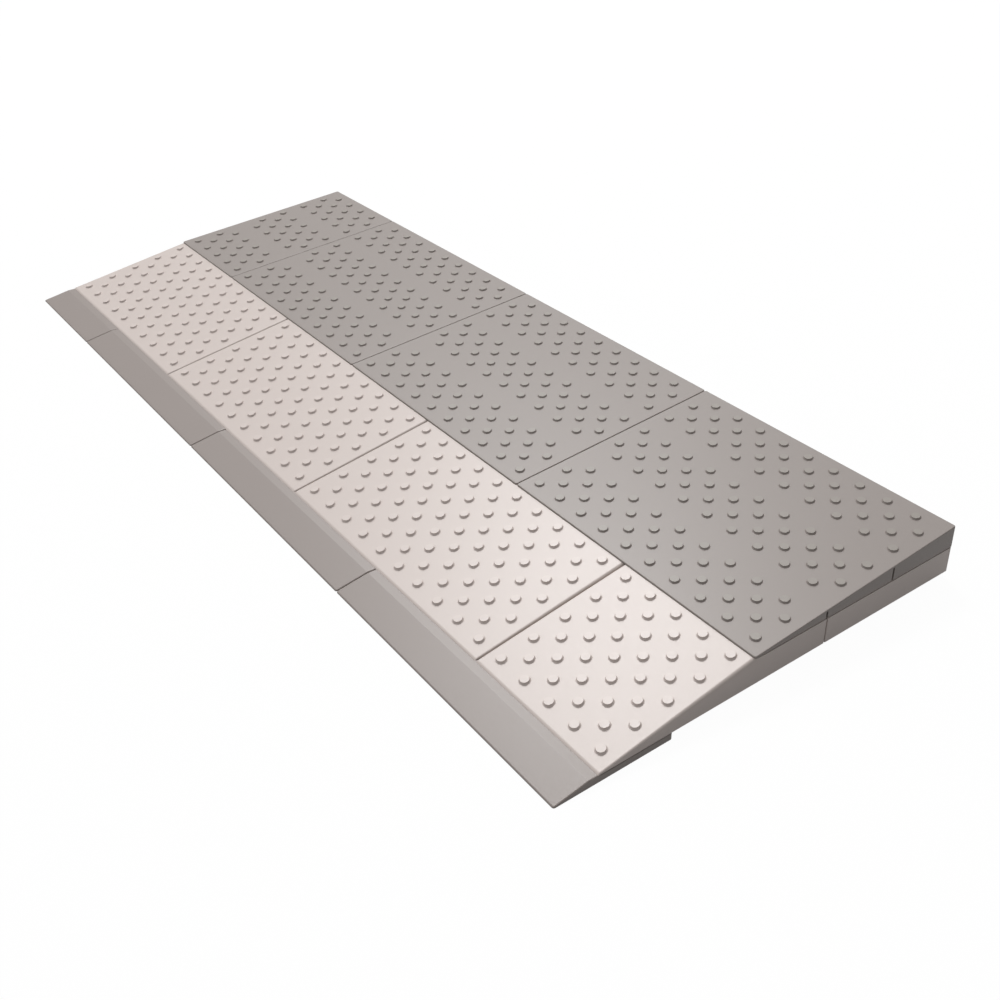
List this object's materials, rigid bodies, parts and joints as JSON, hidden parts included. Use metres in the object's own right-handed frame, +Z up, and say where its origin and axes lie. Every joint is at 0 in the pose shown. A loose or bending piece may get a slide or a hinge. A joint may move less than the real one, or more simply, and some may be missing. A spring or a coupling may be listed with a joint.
{
  "type": "threshold ramp",
  "caption": "Modular plastic threshold ramp: dotted wedge tiles in brick bond over hollow base blocks, with thin lead-in strips in front, clips, dowels and rubber levelling pads below.",
  "frame": {"origin": "on the floor, under the middle of the ramp in both directions", "axes": "+X along the threshold, from the end with the half top tile to the end with the half front tile; +Y up the ramp, towards the threshold; +Z up"},
  "size_m": [0.75, 0.3086, 0.0385],
  "materials": {
    "pale_plastic": "fine matte moulded polyethylene, pale warm grey",
    "grey_plastic": "fine matte moulded polyethylene, mid warm grey",
    "dark_plastic": "satin moulded plastic, near black",
    "pad_rubber": "matte black rubber"
  },
  "bodies": {
    "root": {"base_block_1": "pale_plastic", "base_block_2": "pale_plastic", "base_block_3": "pale_plastic", "base_block_half": "pale_plastic", "base_row_clips": "dark_plastic", "front_pads": "pad_rubber", "front_row_clips": "dark_plastic", "front_tile_1": "pale_plastic", "front_tile_2": "pale_plastic", "front_tile_3": "pale_plastic", "front_tile_half": "pale_plastic", "layer_dowels": "dark_plastic", "lead_strip_1": "grey_plastic", "lead_strip_2": "grey_plastic", "lead_strip_3": "grey_plastic", "lead_strip_half": "grey_plastic", "rear_pads": "pad_rubber", "row_tie_clips": "dark_plastic", "strip_rivets": "dark_plastic", "top_row_clips": "dark_plastic", "top_tile_1": "grey_plastic", "top_tile_2": "grey_plastic", "top_tile_3": "grey_plastic", "top_tile_half": "grey_plastic"}
  },
  "joints": []
}
